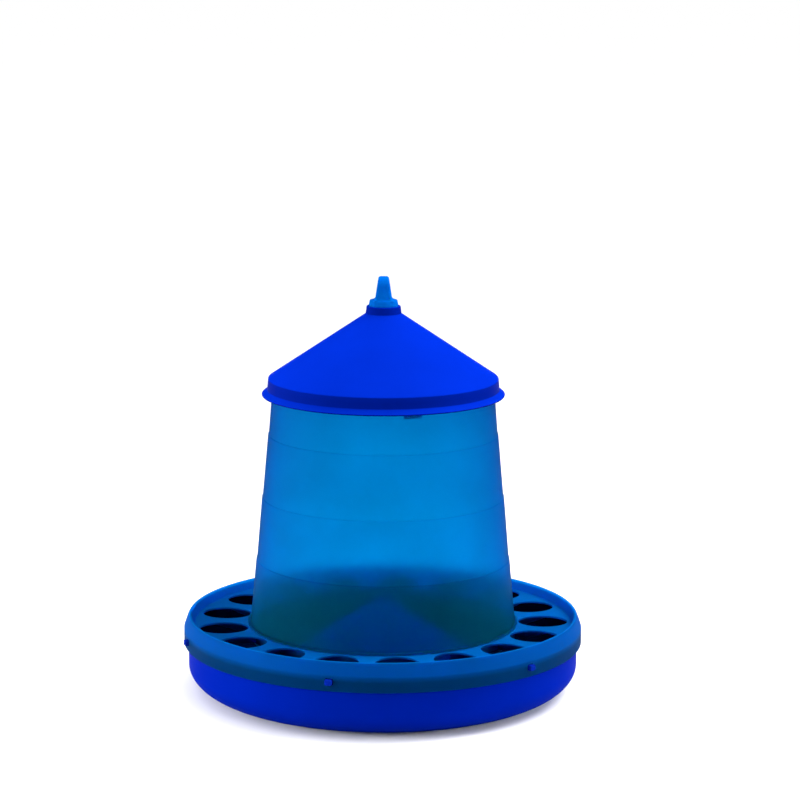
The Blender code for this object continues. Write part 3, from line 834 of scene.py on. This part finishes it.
def build_lid():
    wall = LID_WALL
    skirt_inside = CONE_EDGE[0] - wall
    corners = [
        (BORE_RADIUS, LID_TOP, 0.0004),
        (LID_COLLAR_RADIUS, LID_TOP, 0.0007),
        (*CONE_TOP, 0.0010),
        (*CONE_EDGE, 0.0016),
        (*SKIRT_END, 0.0012),
        (LID_LIP_RADIUS, LID_LIP + LIP_RISE, 0.0006),
        (LID_LIP_RADIUS - LIP_BEVEL, LID_LIP, 0.0005),
        (LID_LIP_RADIUS - LIP_WIDTH, LID_LIP, 0.0005),
        (SKIRT_END[0] - wall, SKIRT_END[1] - 0.0004, 0.0012),
        (skirt_inside, lid_under(skirt_inside), 0.0008),
        (BORE_RADIUS, lid_under(BORE_RADIUS), 0.0006),
    ]
    bm = bmesh.new()
    lathe(bm, rounded(corners))
    lid = make_object("lid_moulding", bm)
    finish_piece(lid, "lid", "lid", LID_PLASTIC)


def loop_section(height):
    """Half width and half depth of the hanging loop at a height."""
    rise = (height - POST_TOP) / (HANDLE_TOP - POST_TOP)
    into_corner = max(height - HANDLE_TOP + LOOP_CORNER, 0.0) / LOOP_CORNER
    width = LOOP_HALF_WIDTH + rise * (LOOP_TOP_HALF_WIDTH - LOOP_HALF_WIDTH)
    width -= LOOP_CORNER * (1.0 - math.sqrt(1.0 - min(into_corner, 1.0) ** 2))
    above_centre = max(height - HANDLE_TOP + LOOP_HALF_DEPTH, 0.0)
    return width, math.sqrt(LOOP_HALF_DEPTH**2 - above_centre**2)


def add_loop(bm, flare_steps=6, arch_steps=28, corner_steps=6):
    """The hanging loop: a tapered strap with rounded edges, an arched top and a small fillet at its foot."""
    levels = [POST_TOP - STRAP_SINK]
    levels += [POST_TOP + STRAP_FLARE_HEIGHT * (i / flare_steps) ** 1.5 for i in range(flare_steps + 1)]
    arch = HANDLE_TOP - LOOP_HALF_DEPTH
    last = math.radians(88.5)  # just short of the very top, which stays a small flat
    levels += [arch + LOOP_HALF_DEPTH * math.sin(last * i / arch_steps) for i in range(arch_steps + 1)]
    outward, sideways = turn(STRAP_AZIMUTH)
    loops = []
    for height in levels:
        into_flare = 1.0 - max(0.0, height - POST_TOP) / STRAP_FLARE_HEIGHT
        flare = STRAP_FLARE * max(0.0, into_flare) ** 2
        width, depth = (half + flare for half in loop_section(height))
        fillet = min(STRAP_EDGE, width * 0.45, depth * 0.7)
        loop = []
        for quarter, (u, v) in enumerate(((1, 1), (-1, 1), (-1, -1), (1, -1))):
            for step in range(corner_steps + 1):
                angle = math.pi / 2 * (quarter + step / corner_steps)
                x = u * (width - fillet) + fillet * math.cos(angle)
                y = v * (depth - fillet) + fillet * math.sin(angle)
                loop.append(sideways * x + outward * y + Vector((0.0, 0.0, height)))
        loops.append(loop)
    add_layers(bm, loops)


def add_eye(bm, sides=48):
    """The cutter for the loop's hole, from side to side, wider towards its ends."""
    outward, sideways = turn(STRAP_AZIMUTH)
    centre = Vector((0.0, 0.0, HANDLE_TOP - LOOP_HALF_DEPTH))
    ends = LOOP_HOLE_PROFILE
    loops = []
    for along, grow in [(-along, grow) for along, grow in ends[::-1]] + list(ends):
        loop = []
        for i in range(sides):
            angle = math.tau * i / sides
            spoke = outward * math.cos(angle) + Vector((0.0, 0.0, math.sin(angle)))
            loop.append(centre + sideways * along + spoke * (LOOP_HOLE_RADIUS + grow))
        loops.append(loop)
    add_layers(bm, loops)


def build_handle():
    bore = POST_RADIUS - POST_WALL
    roof = POST_TOP - POST_WALL
    corners = [
        (0.0, POST_TOP, 0.0),
        (POST_TOP_RADIUS, POST_TOP, 0.0007),
        (POST_SHOULDER_RADIUS, POST_SHOULDER, 0.0020),
        (POST_RADIUS, POST_BOTTOM, 0.0006),
        (bore, POST_BOTTOM, 0.0006),
        (bore, roof, 0.0010),
        (0.0, roof, 0.0),
    ]
    bm = bmesh.new()
    lathe(bm, rounded(corners, closed=False), closed=False, columns=POST_COLUMNS)
    handle = make_object("hanging_handle_moulding", bm)
    loop, eye = bmesh.new(), bmesh.new()
    add_loop(loop)
    combine(handle, loop, "UNION")
    add_eye(eye)
    combine(handle, eye, "DIFFERENCE")

    start = POST_RADIUS - POST_WALL / 2
    finish = PAD_TOP_RADIUS - PAD_THICKNESS / 2
    tops = [lid_under(radius) - ARM_CLEARANCE for radius in (start, finish)]
    arm = [(start, tops[0]), (finish, tops[1]), (finish, tops[1] - ARM_DEPTH), (start, tops[0] - ARM_DEPTH)]
    pad_top = lid_under(PAD_TOP_RADIUS) - ARM_CLEARANCE
    pad = [
        (PAD_TOP_RADIUS, pad_top),
        (PAD_BOTTOM_RADIUS, PAD_BOTTOM),
        (PAD_BOTTOM_RADIUS - PAD_THICKNESS, PAD_BOTTOM),
        (PAD_TOP_RADIUS - PAD_THICKNESS, pad_top),
    ]
    hook_radii = (PAD_TOP_RADIUS - PAD_THICKNESS / 4, HOOK_REACH)
    arms, pads, hooks = bmesh.new(), bmesh.new(), bmesh.new()
    for azimuth in (HANDLE_AZIMUTH, HANDLE_AZIMUTH + 180.0):
        add_plate(arms, azimuth, arm, ARM_WIDTH, bevel=0.0010)
        add_plate(pads, azimuth, pad, PAD_WIDTH, bevel=0.0007)
    for azimuth in hook_azimuths():
        add_box(hooks, azimuth, hook_radii, HOOK_HEIGHTS, HOOK_WIDTH, bevel=0.0005)
    for bm in (arms, pads, hooks):
        combine(handle, bm, "UNION")
    finish_piece(handle, "hopper", "hanging_handle", HANDLE_PLASTIC)


# Setting

FLOOR_SIZE = 120.0
FLOOR_COLOUR = (0.92, 0.92, 0.92, 1.0)
CEILING_FALL = 3.0
CEILING_GLOW = 2.30
WALL_FALL = 4.0
WALL_GLOW = 1.4
DIM_GLOW = 0.02
MIDDLE = (0.0, 0.0, 0.20)
# Each light's name, place, aim, size, power and spread.
LIGHTS = (
    ("soft_right", (1.3, 0.1, 1.7), MIDDLE, (1.0, 1.0), 36.0, 180.0),
    ("soft_left", (-1.6, 0.2, 0.5), MIDDLE, (1.2, 0.8), 14.0, 180.0),
    ("soft_top", (0.1, 0.1, 1.1), MIDDLE, (0.5, 0.5), 3.0, 180.0),
    ("low_left", (-1.15, -0.42, 0.25), (-0.10, -0.05, 0.02), (0.6, 0.3), 1.2, 40.0),
    ("low_right", (1.1, -0.3, 0.25), (0.15, 0.0, 0.02), (0.5, 0.3), 0.7, 40.0),
)
SENSOR_WIDTH = 36.0
LENS = 127.04
CAMERA_PLACE = (0.01573, -2.6255, 0.7558)
CAMERA_TILT = 79.72
CAMERA_LEAN = 0.206


def build_floor():
    bpy.ops.mesh.primitive_plane_add(size=FLOOR_SIZE, location=(0.0, 0.0, 0.0))
    floor = bpy.context.object
    floor.name = "floor"
    paper = bpy.data.materials.new("floor_paper")
    paper.use_nodes = True
    shader = paper.node_tree.nodes["Principled BSDF"]
    shader.inputs["Base Color"].default_value = FLOOR_COLOUR
    shader.inputs["Roughness"].default_value = 0.9
    shader.inputs["Specular IOR Level"].default_value = 0.1
    floor.data.materials.append(paper)


def build_glow():
    """A white surround that glows most overhead, and a little at the two sides."""
    world = bpy.data.worlds.new("studio")
    bpy.context.scene.world = world
    world.use_nodes = True
    tree = world.node_tree
    surround = tree.nodes["Background"]
    surround.inputs["Color"].default_value = (*WHITE, 1.0)
    way = add_node(tree, "ShaderNodeTexCoord")
    parts = add_node(tree, "ShaderNodeSeparateXYZ")
    above = add_node(tree, "ShaderNodeMath", {1: 0.0}, operation="MAXIMUM")
    ceiling = add_node(tree, "ShaderNodeMath", {1: CEILING_FALL}, operation="POWER")
    aside = add_node(tree, "ShaderNodeMath", operation="ABSOLUTE")
    walls = add_node(tree, "ShaderNodeMath", {1: WALL_FALL}, operation="POWER")
    lit = add_node(tree, "ShaderNodeMath", {1: WALL_GLOW, 2: DIM_GLOW}, operation="MULTIPLY_ADD")
    glow = add_node(tree, "ShaderNodeMath", {1: CEILING_GLOW}, operation="MULTIPLY_ADD")
    tree.links.new(way.outputs["Generated"], parts.inputs["Vector"])
    tree.links.new(parts.outputs["Z"], above.inputs[0])
    tree.links.new(above.outputs[0], ceiling.inputs[0])
    tree.links.new(parts.outputs["X"], aside.inputs[0])
    tree.links.new(aside.outputs[0], walls.inputs[0])
    tree.links.new(walls.outputs[0], lit.inputs[0])
    tree.links.new(ceiling.outputs[0], glow.inputs[0])
    tree.links.new(lit.outputs[0], glow.inputs[2])
    tree.links.new(glow.outputs[0], surround.inputs["Strength"])


def add_light(name, place, aim, size, power, spread):
    lamp = bpy.data.lights.new(name, "AREA")
    lamp.shape = "RECTANGLE"
    lamp.size, lamp.size_y = size
    lamp.energy = power
    lamp.spread = math.radians(spread)
    made = bpy.data.objects.new(name, lamp)
    bpy.context.scene.collection.objects.link(made)
    made.location = place
    made.rotation_euler = (Vector(aim) - Vector(place)).to_track_quat("-Z", "Y").to_euler()


def build_camera():
    data = bpy.data.cameras.new("camera")
    data.sensor_width = SENSOR_WIDTH
    data.lens = LENS
    camera = bpy.data.objects.new("camera", data)
    bpy.context.scene.collection.objects.link(camera)
    camera.location = CAMERA_PLACE
    tilt = Matrix.Rotation(math.radians(CAMERA_TILT), 3, "X")
    lean = Matrix.Rotation(math.radians(CAMERA_LEAN), 3, "Z")
    camera.rotation_euler = (tilt @ lean).to_euler()
    bpy.context.scene.camera = camera


build_tray()
build_ring()
build_hopper()
build_lid()
build_handle()
build_floor()
build_glow()
for light in LIGHTS:
    add_light(*light)
build_camera()
bpy.context.scene.view_settings.view_transform = "Standard"
